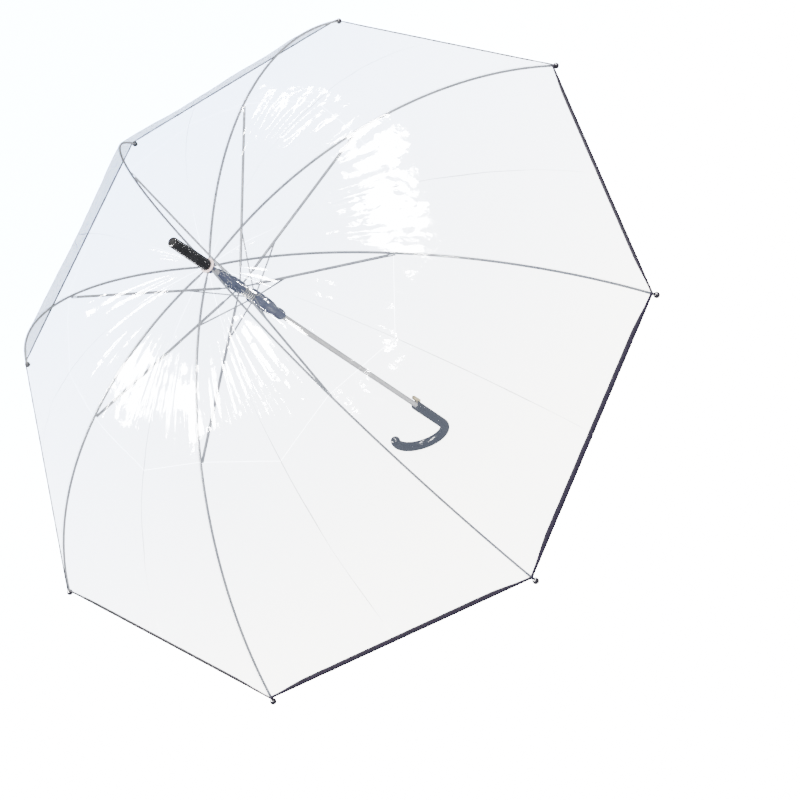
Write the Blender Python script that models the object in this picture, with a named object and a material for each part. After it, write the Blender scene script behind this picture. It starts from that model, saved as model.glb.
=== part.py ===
"""Stick umbrella with eight steel ribs, a clear film canopy and a spring-driven opening frame.

World frame: metres, +Z up along the shaft, ferrule on top, origin at the middle of the straight
grip. The hook opens towards +X. The umbrella is modelled open, as it rests.
Frame pieces are drawn in a radial plane, as (x outwards, z up from the hub), and turned to
their rib's azimuth.
"""
import math

import bmesh
import bpy
from mathutils import Matrix, Vector

# Driving dimensions, in metres and degrees
RIB_COUNT = 8
FIRST_RIB_AZIMUTH = 22.5
HUB_Z = 0.652
FERRULE_LENGTH = 0.083
HANDLE_TOP_Z = 0.050
HANDLE_STRAIGHT = 0.100
HANDLE_RADIUS = 0.008
HOOK_RADIUS = 0.043
HOOK_SWEEP = 205.0
SHAFT_RADIUS = 0.004
SHAFT_WALL = 0.0005
SHAFT_IN_HANDLE = 0.060
SHAFT_IN_FERRULE = 0.060

RIB_LENGTH = 0.600
RIB_ANGLE_HUB = -8.7
RIB_ANGLE_MIDDLE = 28.6
RIB_ANGLE_TIP = 55.8
RIB_WIDTH = 0.0030
RIB_HEIGHT = 0.0026
RIB_WALL = 0.00045
STRETCHER_JOINT = 0.417
JOINT_DROP = 0.0038
CHANNEL_START = 0.0090

RING_RADIUS = 0.0070
RING_WIRE = 0.00055
NOTCH_RADIUS = 0.0086
WIRE_SEAT_RADIUS = 0.0059
WIRE_GROOVE = 0.0018
SLOT_START = 0.0049
SLOT_WIDTH = 0.0020
TONGUE_THICKNESS = 0.0014
TONGUE_HEIGHT = 0.0020
EYE_RADIUS = 0.0018
EYE_HOLE = 0.0009

STRETCHER_WIDTH = 0.0028
STRETCHER_HEIGHT = 0.0026
STRETCHER_TONGUE = 0.0215
LUG_THICKNESS = 0.0012
JOINT_PIN_RADIUS = 0.00055
JOINT_PIN_HOLE = 0.00085
LINK_PIN_RADIUS = 0.0004
LINK_PIN_HOLE = 0.00065
LINK_ON_STRETCHER = 0.0715
LINK_PIN_DROP = 0.0006
LINK_THICKNESS = 0.0012
LINK_HEIGHT = 0.0016
LINK_FOOT_RADIUS = 0.0088
LINK_FOOT_Z = -0.107

SPRING_RADIUS = 0.0061
SPRING_WIRE = 0.0006
SPRING_TURNS = 12
COLLAR_BELOW = 0.0035
CUP_RADIUS = 0.0072
CUP_DEPTH = 0.043
CUP_RIM = 0.0020

FILM_THICKNESS = 0.0002
FILM_LIFT = 0.0023
FILM_HOLE = 0.0095
FILM_END = 0.9875
RIB_END = 0.9925
BALL_RADIUS = 0.0036

BUTTON_AZIMUTH = 240.0
BUTTON_RISE = 0.012
BUTTON_DEPTH = 0.010
BUTTON_BACK = 0.0066
BUTTON_FACE = 0.0120
BUTTON_WIDTH = 0.0050
STEM_WIDTH = 0.0024
CATCH_SLOT_WIDTH = 0.0032
CATCH_SLOT_BELOW = 0.014
CATCH_SLOT_ABOVE = 0.049

GAP = 0.0003
BORE = SHAFT_RADIUS + GAP

HALF_GORE = math.pi / RIB_COUNT

COLOURS = {
    "black_plastic": ((0.012, 0.012, 0.014), 0.22, 0.0),
    "grey_plastic": ((0.12, 0.12, 0.16), 0.40, 0.0),
    "painted_steel": ((0.62, 0.64, 0.68), 0.35, 0.7),
    "spring_steel": ((0.50, 0.49, 0.46), 0.25, 1.0),
    "white_enamel": ((0.72, 0.73, 0.75), 0.30, 0.1),
    "clear_film": ((0.93, 0.95, 0.98), 0.08, 0.0),
    "cream_plastic": ((0.86, 0.76, 0.48), 0.35, 0.0),
}


# ---------------------------------------------------------------- geometry of the frame

def rib_angle(t):
    """Slope of the rib below the horizontal at t, a share of its length, in radians."""
    bend = 2 * (RIB_ANGLE_HUB + RIB_ANGLE_TIP - 2 * RIB_ANGLE_MIDDLE)
    linear = RIB_ANGLE_TIP - RIB_ANGLE_HUB - bend
    return math.radians(RIB_ANGLE_HUB + linear * t + bend * t * t)


def rib_point(t, lift=0.0):
    """Point of the rib's centreline at t, raised by lift along the rib's outward normal."""
    steps = 60
    x, z = RING_RADIUS, 0.0
    for i in range(steps):
        angle = rib_angle(t * (i + 0.5) / steps)
        x += RIB_LENGTH * t / steps * math.cos(angle)
        z -= RIB_LENGTH * t / steps * math.sin(angle)
    angle = rib_angle(t)
    return Vector((x + lift * math.sin(angle), z + lift * math.cos(angle)))


def turned(point, angle, length):
    """The point reached from point by going length at angle above the horizontal."""
    return point + length * Vector((math.cos(angle), math.sin(angle)))


HINGE = Vector((RING_RADIUS, 0.0))
JOINT = rib_point(STRETCHER_JOINT, -JOINT_DROP)
FLEX_AXIS = rib_point(STRETCHER_JOINT, RIB_HEIGHT / 2)
RUNNER_HINGE = Vector((RING_RADIUS, 2 * JOINT.y))
STRETCHER_ANGLE = math.atan2(JOINT.y - RUNNER_HINGE.y, JOINT.x - RUNNER_HINGE.x)
LINK_FOOT = Vector((LINK_FOOT_RADIUS, LINK_FOOT_Z))
LINK_PIN = (
    turned(RUNNER_HINGE, STRETCHER_ANGLE, LINK_ON_STRETCHER)
    + LINK_PIN_DROP * Vector((math.sin(STRETCHER_ANGLE), -math.cos(STRETCHER_ANGLE)))
)
LINK_ANGLE = math.atan2(LINK_PIN.y - LINK_FOOT.y, LINK_PIN.x - LINK_FOOT.x)


# ---------------------------------------------------------------- modelling helpers

def clear_scene():
    for obj in list(bpy.data.objects):
        bpy.data.objects.remove(obj, do_unlink=True)


def material(name):
    """The Principled material of that name, made once."""
    if name in bpy.data.materials:
        return bpy.data.materials[name]
    colour, roughness, metallic = COLOURS[name]
    made = bpy.data.materials.new(name)
    made.use_nodes = True
    shader = made.node_tree.nodes["Principled BSDF"]
    shader.inputs["Base Color"].default_value = (*colour, 1.0)
    shader.inputs["Roughness"].default_value = roughness
    shader.inputs["Metallic"].default_value = metallic
    return made


def mesh_from(bm):
    """Turns a bmesh into a mesh with its faces pointing out."""
    bmesh.ops.recalc_face_normals(bm, faces=bm.faces)
    mesh = bpy.data.meshes.new("mesh")
    bm.to_mesh(mesh)
    bm.free()
    return mesh


def sweep(centres, normals, sides, section, scales=None):
    """A closed solid: the section's (side, normal) points carried along the centres."""
    bm = bmesh.new()
    rings = []
    for i, (centre, normal, side) in enumerate(zip(centres, normals, sides)):
        scale = scales[i] if scales else 1.0
        ring = [centre + (side * s + normal * n) * scale for s, n in section]
        rings.append([bm.verts.new(point) for point in ring])
    count = len(section)
    for ring, following in zip(rings, rings[1:]):
        for i in range(count):
            j = (i + 1) % count
            bm.faces.new((ring[i], ring[j], following[j], following[i]))
    bm.faces.new(rings[0])
    bm.faces.new(rings[-1])
    return mesh_from(bm)


def planar_sweep(stations, section, scales=None):
    """Sweeps a section along (point, slope above horizontal) stations in the radial plane."""
    centres = [Vector((p.x, 0.0, p.y)) for p, _ in stations]
    normals = [Vector((-math.sin(a), 0.0, math.cos(a))) for _, a in stations]
    sides = [Vector((0.0, 1.0, 0.0))] * len(stations)
    return sweep(centres, normals, sides, section, scales)


def channel_section(width, height, wall):
    """A U section open downwards, as (side, normal) points."""
    w, h = width / 2, height / 2
    return [
        (-w, -h), (-w, h), (w, h), (w, -h),
        (w - wall, -h), (w - wall, h - wall), (-w + wall, h - wall), (-w + wall, -h),
    ]


def round_section(radius, count):
    return [
        (radius * math.cos(2 * math.pi * i / count), radius * math.sin(2 * math.pi * i / count))
        for i in range(count)
    ]


def lathe(profile, segments):
    """A solid of revolution about Z from a profile of (radius, z) points.

    A profile whose ends lie on the axis makes a solid; any other is closed into a ring.
    """
    bm = bmesh.new()
    verts = [bm.verts.new((r, 0.0, z)) for r, z in profile]
    edges = [bm.edges.new(pair) for pair in zip(verts, verts[1:])]
    if profile[0][0] > 0:
        edges.append(bm.edges.new((verts[-1], verts[0])))
    bmesh.ops.spin(
        bm, geom=verts + edges, cent=(0, 0, 0), axis=(0, 0, 1), angle=2 * math.pi,
        steps=segments, use_merge=True,
    )
    bmesh.ops.remove_doubles(bm, verts=bm.verts, dist=1e-6)
    return mesh_from(bm)


def plate(outline, thickness):
    """A flat plate in the radial plane, centred on it, from (x, z) points."""
    bm = bmesh.new()
    face = bm.faces.new([bm.verts.new((x, -thickness / 2, z)) for x, z in outline])
    grown = bmesh.ops.extrude_face_region(bm, geom=[face])
    moved = [v for v in grown["geom"] if isinstance(v, bmesh.types.BMVert)]
    bmesh.ops.translate(bm, verts=moved, vec=(0.0, thickness, 0.0))
    return mesh_from(bm)


def box(low, high):
    bm = bmesh.new()
    size = [h - l for l, h in zip(low, high)]
    centre = [(l + h) / 2 for l, h in zip(low, high)]
    bmesh.ops.create_cube(
        bm, size=1.0, matrix=Matrix.Translation(centre) @ Matrix.Diagonal((*size, 1.0))
    )
    return mesh_from(bm)


def pin(point, radius, length, segments=10):
    """A round pin across the radial plane at an (x, z) point."""
    bm = bmesh.new()
    across = Matrix.Translation((point.x, 0.0, point.y)) @ Matrix.Rotation(math.pi / 2, 4, "X")
    bmesh.ops.create_cone(
        bm, cap_ends=True, segments=segments, radius1=radius, radius2=radius, depth=length,
        matrix=across,
    )
    return mesh_from(bm)


def upright(radius, low, high, segments):
    """A round bar along Z between two heights."""
    return lathe([(0.0, low), (radius, low), (radius, high), (0.0, high)], segments)


def spokes(inner, outer, bottom, top):
    """One mesh of slot-wide boxes, one at each rib's azimuth, for cutting hinge slots."""
    bm = bmesh.new()
    middle = Matrix.Translation(((inner + outer) / 2, 0.0, (bottom + top) / 2))
    size = Matrix.Diagonal((outer - inner, SLOT_WIDTH, top - bottom, 1.0))
    for azimuth in rib_azimuths():
        turn = Matrix.Rotation(azimuth, 4, "Z")
        bmesh.ops.create_cube(bm, size=1.0, matrix=turn @ middle @ size)
    return mesh_from(bm)


def combined(base, joined=(), cut=()):
    """The base mesh with the joined meshes added and the cut meshes taken away."""
    work = bpy.data.objects.new("work", base)
    bpy.context.scene.collection.objects.link(work)
    tools = []
    for operation, meshes in (("UNION", joined), ("DIFFERENCE", cut)):
        for mesh in meshes:
            tool = bpy.data.objects.new("tool", mesh)
            bpy.context.scene.collection.objects.link(tool)
            step = work.modifiers.new(operation, "BOOLEAN")
            step.operation = operation
            step.object = tool
            tools.append(tool)
    bpy.context.view_layer.update()
    evaluated = work.evaluated_get(bpy.context.evaluated_depsgraph_get())
    result = bpy.data.meshes.new_from_object(evaluated)
    for obj in (work, *tools):
        bpy.data.objects.remove(obj, do_unlink=True)
    return result


def add(name, mesh, finish, origin=(0.0, 0.0, 0.0), azimuth=0.0):
    """Adds a named object. The mesh is in world metres before it is turned by azimuth.

    The object's own origin is put at origin, so that a moving piece turns about its joint.
    A mesh that several objects share is moved and finished by the first of them.
    """
    if not mesh.materials:
        mesh.transform(Matrix.Translation(-Vector(origin)))
        mesh.materials.append(material(finish))
        mesh.shade_smooth()
        mesh.set_sharp_from_angle(angle=math.radians(32))
    obj = bpy.data.objects.new(name, mesh)
    obj.rotation_euler.z = azimuth
    obj.location = Matrix.Rotation(azimuth, 3, "Z") @ Vector(origin)
    obj.parent = bpy.data.objects["umbrella"]
    bpy.context.scene.collection.objects.link(obj)
    return obj


def hub_height(mesh):
    """Lifts a mesh drawn from the hub's plane to its place in the world."""
    mesh.transform(Matrix.Translation((0.0, 0.0, HUB_Z)))
    return mesh


def at_hub(point):
    return (point.x, 0.0, point.y + HUB_Z)


def rib_azimuths():
    return [math.radians(FIRST_RIB_AZIMUTH + 360.0 * k / RIB_COUNT) for k in range(RIB_COUNT)]


# ---------------------------------------------------------------- shaft, ferrule and hub

def shaft():
    low = HANDLE_TOP_Z - SHAFT_IN_HANDLE
    high = HUB_Z + SHAFT_IN_FERRULE
    inner = SHAFT_RADIUS - SHAFT_WALL
    tube = lathe([(inner, low), (SHAFT_RADIUS, low), (SHAFT_RADIUS, high), (inner, high)], 20)
    slot = box(
        (inner / 2, -CATCH_SLOT_WIDTH / 2, HANDLE_TOP_Z - CATCH_SLOT_BELOW),
        (SHAFT_RADIUS * 1.5, CATCH_SLOT_WIDTH / 2, HANDLE_TOP_Z + CATCH_SLOT_ABOVE),
    )
    slot.transform(Matrix.Rotation(math.radians(BUTTON_AZIMUTH), 4, "Z"))
    add("shaft", combined(tube, cut=[slot]), "white_enamel")


def ferrule():
    """The long cap over the shaft's top: a blind bore inside, a slight taper outside."""
    tip, base = FERRULE_LENGTH, 0.0047
    bore_end = SHAFT_IN_FERRULE + GAP
    profile = [
        (0.0, bore_end), (BORE, bore_end), (BORE, base), (0.0070, base),
        (0.0076, base + 0.0008), (0.0073, 0.030), (0.0066, tip - 0.0024),
        (0.0061, tip - 0.0008), (0.0048, tip), (0.0, tip),
    ]
    add("ferrule", hub_height(lathe(profile, 24)), "black_plastic")


def rosette():
    ring = lathe([(BORE, 0.0036), (0.0105, 0.0036), (0.0103, 0.0044), (BORE, 0.0044)], 24)
    add("rosette", hub_height(ring), "clear_film")


def hub_notch():
    """The slotted disc that the ribs hinge in, with a groove for its wire."""
    top, bottom, half = 0.0020, -0.0045, WIRE_GROOVE / 2
    profile = [
        (BORE, bottom), (NOTCH_RADIUS, bottom), (NOTCH_RADIUS, -half),
        (WIRE_SEAT_RADIUS, -half), (WIRE_SEAT_RADIUS, half), (NOTCH_RADIUS, half),
        (NOTCH_RADIUS, top), (BORE, top),
    ]
    slots = spokes(SLOT_START, NOTCH_RADIUS + 0.001, bottom - 0.001, top + 0.001)
    add("hub_notch", hub_height(combined(lathe(profile, 24), cut=[slots])), "grey_plastic")


def hinge_wire(name, height):
    section = [(RING_RADIUS + s, n + height) for s, n in round_section(RING_WIRE, 6)]
    add(name, hub_height(lathe(section, 24)), "spring_steel")


# ---------------------------------------------------------------- ribs, stretchers, links

def tongue(centre, angle, length, half_height):
    """A flat end plate from a round eye at centre, going length at angle."""
    outline = []
    for i in range(7):
        around = angle + math.pi / 2 + math.pi * i / 6
        outline.append(turned(centre, around, EYE_RADIUS))
    neck = EYE_RADIUS + 0.0006
    for along, side in ((neck, -1), (length, -1), (length, 1), (neck, 1)):
        foot = turned(centre, angle, along)
        outline.append(turned(foot, angle + side * math.pi / 2, half_height))
    return plate([(p.x, p.y) for p in outline], TONGUE_THICKNESS)


def rib_stations(start, end, count):
    stations = []
    for i in range(count + 1):
        t = start + (end - start) * i / count
        stations.append((rib_point(t), -rib_angle(t)))
    return stations


def rib_inner_mesh():
    start = CHANNEL_START / RIB_LENGTH
    end = STRETCHER_JOINT - GAP / 2 / RIB_LENGTH
    channel = planar_sweep(
        rib_stations(start, end, 7), channel_section(RIB_WIDTH, RIB_HEIGHT, RIB_WALL)
    )
    eye = tongue(HINGE, -rib_angle(0.0), CHANNEL_START + 0.004, TONGUE_HEIGHT / 2)
    slope = -rib_angle(STRETCHER_JOINT)
    lug = []
    for i in range(7):
        around = slope + math.pi + math.pi * i / 6
        lug.append(turned(JOINT, around, 0.0013))
    root = rib_point(STRETCHER_JOINT, RIB_HEIGHT / 2 - RIB_WALL / 2)
    lug.append(turned(root, slope + math.pi, 0.0004))
    lug.append(turned(root, slope + math.pi, 0.0032))
    lug_plate = plate([(p.x, p.y) for p in lug], LUG_THICKNESS)
    rivet = pin(JOINT, JOINT_PIN_RADIUS, RIB_WIDTH + 0.0002)
    hole = pin(HINGE, EYE_HOLE, 0.004)
    return combined(channel, joined=[eye, lug_plate, rivet], cut=[hole])


def ball_tip_mesh():
    """The ball end, turned about Z with the rib's end at the origin, then laid on the rib."""
    sleeve, neck = 0.0019, 0.0016
    low = -(1.0 - FILM_END) * RIB_LENGTH + 0.0006
    profile = [(0.0, low), (sleeve, low), (neck, -0.0034)]
    for i in range(1, 7):
        around = math.pi * (i + 0.7) / 7.7
        profile.append((BALL_RADIUS * math.sin(around), -BALL_RADIUS * math.cos(around)))
    profile[-1] = (0.0, BALL_RADIUS)
    mesh = lathe(profile, 12)
    tip = rib_point(1.0)
    lay = Matrix.Translation((tip.x, 0.0, tip.y)) @ Matrix.Rotation(
        math.pi / 2 + rib_angle(1.0), 4, "Y"
    )
    mesh.transform(lay)
    return mesh


def rib_outer_mesh():
    start = STRETCHER_JOINT + GAP / 2 / RIB_LENGTH
    channel = planar_sweep(
        rib_stations(start, RIB_END, 10), channel_section(RIB_WIDTH, RIB_HEIGHT, RIB_WALL)
    )
    return combined(channel, joined=[ball_tip_mesh()])


def stretcher_mesh():
    start = turned(RUNNER_HINGE, STRETCHER_ANGLE, STRETCHER_TONGUE)
    end = turned(JOINT, STRETCHER_ANGLE, 0.00125)
    stations = [(start, STRETCHER_ANGLE), (end, STRETCHER_ANGLE)]
    section = channel_section(STRETCHER_WIDTH, STRETCHER_HEIGHT, RIB_WALL)
    channel = planar_sweep(stations, section)
    eye = tongue(RUNNER_HINGE, STRETCHER_ANGLE, STRETCHER_TONGUE + 0.003, 0.0011)
    rivet = pin(LINK_PIN, LINK_PIN_RADIUS, STRETCHER_WIDTH + 0.0002)
    web = box((-0.0080, -0.00095, -0.0002), (0.0020, 0.00095, 0.0020))
    web.transform(
        Matrix.Translation((JOINT.x, 0.0, JOINT.y)) @ Matrix.Rotation(-STRETCHER_ANGLE, 4, "Y")
    )
    cuts = [pin(RUNNER_HINGE, EYE_HOLE, 0.004), web, pin(JOINT, JOINT_PIN_HOLE, 0.005)]
    return combined(channel, joined=[eye, rivet], cut=cuts)


def link_mesh():
    outline = []
    for i in range(5):
        around = LINK_ANGLE - math.pi / 2 + math.pi * i / 4
        outline.append(turned(LINK_PIN, around, 0.00115))
    foot_start = LINK_ANGLE + math.pi / 2
    for i in range(5):
        outline.append(turned(LINK_FOOT, foot_start + math.pi * i / 4, LINK_HEIGHT / 2))
    blade = plate([(p.x, p.y) for p in outline], LINK_THICKNESS)
    return combined(blade, cut=[pin(LINK_PIN, LINK_PIN_HOLE, 0.003)])


def frame_arms():
    shapes = (
        ("rib_inner", rib_inner_mesh(), HINGE),
        ("rib_outer", rib_outer_mesh(), FLEX_AXIS),
        ("stretcher", stretcher_mesh(), JOINT),
        ("link", link_mesh(), LINK_PIN),
    )
    for kind, mesh, origin in shapes:
        hub_height(mesh)
        for number, azimuth in enumerate(rib_azimuths(), start=1):
            add(f"{kind}_{number}", mesh, "painted_steel", at_hub(origin), azimuth)


# ---------------------------------------------------------------- runners and spring

def upper_runner():
    """The runner that the stretchers hinge in: a tapered sleeve with a slotted collar."""
    half = WIRE_GROOVE / 2
    profile = [
        (BORE, -COLLAR_BELOW), (NOTCH_RADIUS, -COLLAR_BELOW), (NOTCH_RADIUS, -half),
        (WIRE_SEAT_RADIUS, -half), (WIRE_SEAT_RADIUS, half), (NOTCH_RADIUS, half),
        (NOTCH_RADIUS, 0.0200), (0.0071, 0.0215), (0.0068, 0.0300), (0.0056, 0.0530),
        (0.0052, 0.0540), (BORE, 0.0540),
    ]
    slots = spokes(SLOT_START, NOTCH_RADIUS + 0.001, -0.0026, 0.0190)
    mesh = combined(lathe(profile, 24), cut=[slots])
    mesh.transform(Matrix.Translation((0.0, 0.0, RUNNER_HINGE.y)))
    origin = (0.0, 0.0, HUB_Z + RUNNER_HINGE.y)
    add("upper_runner", hub_height(mesh), "grey_plastic", origin)


def lower_runner():
    """The bell that the links push: a slotted cup over the spring, a waist and a knob."""
    profile = [
        (CUP_RADIUS, CUP_RIM), (CUP_RADIUS, -CUP_DEPTH), (BORE, -CUP_DEPTH), (BORE, -0.0780),
        (0.0052, -0.0780), (0.0068, -0.0755), (0.0076, -0.0710), (0.0076, -0.0660),
        (0.0068, -0.0600), (0.0060, -0.0570), (0.0062, -0.0545), (0.0080, -0.0500),
        (0.0092, -0.0430), (0.0098, -0.0300), (0.0100, -0.0100), (0.0100, CUP_RIM),
    ]
    slots = spokes(CUP_RADIUS - 0.0006, 0.0110, -0.0030, CUP_RIM + 0.001)
    mesh = combined(lathe(profile, 24), cut=[slots])
    mesh.transform(Matrix.Translation((0.0, 0.0, LINK_FOOT.y)))
    origin = (0.0, 0.0, HUB_Z + LINK_FOOT.y)
    add("lower_runner", hub_height(mesh), "grey_plastic", origin)


def jump_spring():
    """The compression spring between the two runners, closed at both ends."""
    top = RUNNER_HINGE.y - COLLAR_BELOW - GAP - SPRING_WIRE
    bottom = LINK_FOOT.y - CUP_DEPTH + GAP + SPRING_WIRE
    per_turn = 10
    centres, normals, sides = [], [], []
    for i in range(SPRING_TURNS * per_turn + 1):
        around = 2 * math.pi * i / per_turn
        out = Vector((math.cos(around), math.sin(around), 0.0))
        height = bottom + (top - bottom) * i / (SPRING_TURNS * per_turn)
        centres.append(out * SPRING_RADIUS + Vector((0.0, 0.0, height)))
        normals.append(Vector((0.0, 0.0, 1.0)))
        sides.append(out)
    mesh = sweep(centres, normals, sides, round_section(SPRING_WIRE, 5))
    add("jump_spring", hub_height(mesh), "spring_steel", (0.0, 0.0, HUB_Z + top))


# ---------------------------------------------------------------- canopy

def film_share(v, reach):
    """The share of the rib's length at which the film's point v across it lies reach out."""
    low, high = 0.0, 1.0
    across = 1 - abs(v) * math.sin(HALF_GORE) ** 2
    for _ in range(40):
        middle = (low + high) / 2
        if rib_point(middle, FILM_LIFT).x * across < reach:
            low = middle
        else:
            high = middle
    return low


def film_mesh(first, last, steps):
    """A film section centred on its rib, between two shares of the rib given for each v."""
    bm = bmesh.new()
    across = (-1, 0, 1)
    layers = []
    for lift in (FILM_LIFT, FILM_LIFT + FILM_THICKNESS):
        rows = []
        for i in range(steps + 1):
            row = []
            for v in across:
                start, end = first(v), last(v)
                point = rib_point(start + (end - start) * i / steps, lift)
                x = point.x * (1 - abs(v) * math.sin(HALF_GORE) ** 2)
                y = v * point.x * math.sin(HALF_GORE) * math.cos(HALF_GORE)
                y -= v * GAP / 2
                row.append(bm.verts.new((x, y, point.y)))
            rows.append(row)
        layers.append(rows)
    lower, upper = layers
    for rows in layers:
        for row, following in zip(rows, rows[1:]):
            for j in (0, 1):
                bm.faces.new((row[j], row[j + 1], following[j + 1], following[j]))
    for i in range(steps):
        for j in (0, 2):
            bm.faces.new((lower[i][j], lower[i + 1][j], upper[i + 1][j], upper[i][j]))
    for i in (0, steps):
        for j in (0, 1):
            bm.faces.new((lower[i][j], lower[i][j + 1], upper[i][j + 1], upper[i][j]))
    return mesh_from(bm)


def canopy():
    seam = FLEX_AXIS.x
    crown = film_mesh(
        lambda v: film_share(0, FILM_HOLE), lambda v: film_share(v, seam - GAP / 2), 6
    )
    skirt = film_mesh(lambda v: film_share(v, seam + GAP / 2), lambda v: FILM_END, 8)
    for kind, mesh, origin in (("crown", crown, HINGE), ("skirt", skirt, FLEX_AXIS)):
        hub_height(mesh)
        for number, azimuth in enumerate(rib_azimuths(), start=1):
            add(f"canopy_{kind}_{number}", mesh, "clear_film", at_hub(origin), azimuth)


# ---------------------------------------------------------------- handle and release

def handle():
    """The hooked handle, bored for the shaft and with a pocket for the button."""
    bottom = HANDLE_TOP_Z - HANDLE_STRAIGHT
    stations = [
        (Vector((0.0, HANDLE_TOP_Z)), -math.pi / 2),
        (Vector((0.0, HANDLE_TOP_Z - 0.0006)), -math.pi / 2),
    ]
    steps = 24
    for i in range(steps + 1):
        around = math.radians(HOOK_SWEEP) * i / steps
        x = HOOK_RADIUS * (1 - math.cos(around))
        z = bottom - HOOK_RADIUS * math.sin(around)
        stations.append((Vector((x, z)), around - math.pi / 2))
    scales = [0.94] + [1.0] * (len(stations) - 1)
    end, slope = stations[-1]
    for i in (1, 2, 3):
        round_off = math.radians(28 * i)
        stations.append((turned(end, slope, HANDLE_RADIUS * math.sin(round_off) * 0.6), slope))
        scales.append(math.cos(round_off))
    body = planar_sweep(stations, round_section(HANDLE_RADIUS, 16), scales)
    bore = upright(BORE, HANDLE_TOP_Z - SHAFT_IN_HANDLE - GAP, HANDLE_TOP_Z + 0.002, 20)
    pocket_half = BUTTON_WIDTH / 2 + GAP
    pocket = box(
        (SHAFT_RADIUS - 0.001, -pocket_half, HANDLE_TOP_Z - BUTTON_DEPTH - GAP),
        (HANDLE_RADIUS + 0.002, pocket_half, HANDLE_TOP_Z + 0.002),
    )
    pocket.transform(Matrix.Rotation(math.radians(BUTTON_AZIMUTH), 4, "Z"))
    add("handle", combined(body, cut=[bore, pocket]), "black_plastic")


def release_button():
    """The push button in the handle's mouth, with a stem that reaches the catch."""
    low, half, stem_half = HANDLE_TOP_Z - BUTTON_DEPTH, BUTTON_WIDTH / 2, STEM_WIDTH / 2
    pad = box((BUTTON_BACK, -half, low), (BUTTON_FACE, half, HANDLE_TOP_Z + BUTTON_RISE))
    stem = box(
        (SHAFT_RADIUS - 0.0009, -stem_half, low + 0.001),
        (BUTTON_BACK + 0.0004, stem_half, HANDLE_TOP_Z - 0.002),
    )
    mesh = combined(pad, joined=[stem])
    origin = (BUTTON_BACK, 0.0, HANDLE_TOP_Z)
    button = add("release_button", mesh, "cream_plastic", origin, math.radians(BUTTON_AZIMUTH))
    bevel = button.modifiers.new("edges", "BEVEL")
    bevel.width = 0.0006
    bevel.segments = 1


def runner_catch():
    """The leaf spring inside the shaft, with the catch that holds the closed runner."""
    low, high = HANDLE_TOP_Z - 0.045, HANDLE_TOP_Z + 0.048
    inner, outer, tooth = 0.0022, 0.0028, 0.0041
    outline = [
        (inner, low), (outer, low), (outer, high - 0.012), (tooth, high - 0.004),
        (tooth, high - 0.003), (outer, high - 0.003), (outer, high), (inner, high),
    ]
    origin = (inner, 0.0, HANDLE_TOP_Z)
    add(
        "runner_catch", plate(outline, STEM_WIDTH), "spring_steel", origin,
        math.radians(BUTTON_AZIMUTH),
    )


def build():
    clear_scene()
    root = bpy.data.objects.new("umbrella", None)
    bpy.context.scene.collection.objects.link(root)
    shaft()
    ferrule()
    rosette()
    hub_notch()
    hinge_wire("hub_wire", 0.0)
    hinge_wire("runner_wire", RUNNER_HINGE.y)
    frame_arms()
    upper_runner()
    lower_runner()
    jump_spring()
    canopy()
    handle()
    release_button()
    runner_catch()


build()
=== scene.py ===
"""Looks of the clear stick umbrella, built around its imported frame.

Metres, +Z up the shaft. Radial pieces are drawn in a rib's own frame, (x outwards, y across,
z up from the hub's plane), and turned to the rib's azimuth.
"""
import math

import bmesh
import bpy
from mathutils import Matrix, Vector, noise


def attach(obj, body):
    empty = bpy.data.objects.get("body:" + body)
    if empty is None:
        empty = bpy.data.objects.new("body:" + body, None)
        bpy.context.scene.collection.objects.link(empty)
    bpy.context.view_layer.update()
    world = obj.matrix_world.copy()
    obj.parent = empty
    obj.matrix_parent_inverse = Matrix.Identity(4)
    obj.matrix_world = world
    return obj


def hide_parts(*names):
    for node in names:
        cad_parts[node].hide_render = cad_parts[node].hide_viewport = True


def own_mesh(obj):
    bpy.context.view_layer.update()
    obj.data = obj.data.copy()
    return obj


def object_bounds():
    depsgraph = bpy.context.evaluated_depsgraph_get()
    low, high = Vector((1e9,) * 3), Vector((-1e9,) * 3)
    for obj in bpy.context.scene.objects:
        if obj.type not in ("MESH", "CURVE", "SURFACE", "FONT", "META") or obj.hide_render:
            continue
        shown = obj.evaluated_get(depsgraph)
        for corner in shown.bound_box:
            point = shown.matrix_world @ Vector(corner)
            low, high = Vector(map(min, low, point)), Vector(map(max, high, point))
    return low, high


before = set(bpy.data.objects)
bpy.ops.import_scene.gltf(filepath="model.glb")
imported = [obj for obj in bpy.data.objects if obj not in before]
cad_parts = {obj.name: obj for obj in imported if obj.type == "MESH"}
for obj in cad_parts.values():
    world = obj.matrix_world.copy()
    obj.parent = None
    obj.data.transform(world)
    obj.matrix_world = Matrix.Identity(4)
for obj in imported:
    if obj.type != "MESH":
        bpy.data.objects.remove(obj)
cad_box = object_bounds()

# Sizes shared with the frame
RIB_COUNT = 8
FIRST_RIB = math.radians(22.5)
HALF_GORE = math.pi / RIB_COUNT
HUB_Z = 0.652
RIB_LENGTH = 0.600
RIB_SLOPES = (-8.7, 28.6, 55.8)
HINGE_RADIUS = 0.0070
STRETCHER_JOINT = 0.417
JOINT_DROP = 0.0038
LINK_FOOT_Z = -0.107
RIB_WIDTH, RIB_HEIGHT, RIB_WALL = 0.0025, 0.0024, 0.00045
HANDLE_TOP = 0.050
HANDLE_BOTTOM = -0.050
HANDLE_RADIUS = 0.008
HOOK_RADIUS = 0.043
HOOK_SWEEP = math.radians(205)
BUTTON_AZIMUTH = math.radians(240)
BORE = 0.0043
SHAFT_RADIUS, TUBE_RADIUS = 0.0040, 0.0035
SHAFT_ENTRY = 0.060
SOCKET_DEPTH = 0.0603
BALL_RADIUS = 0.0044
CURVE_STEPS = 400

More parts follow.
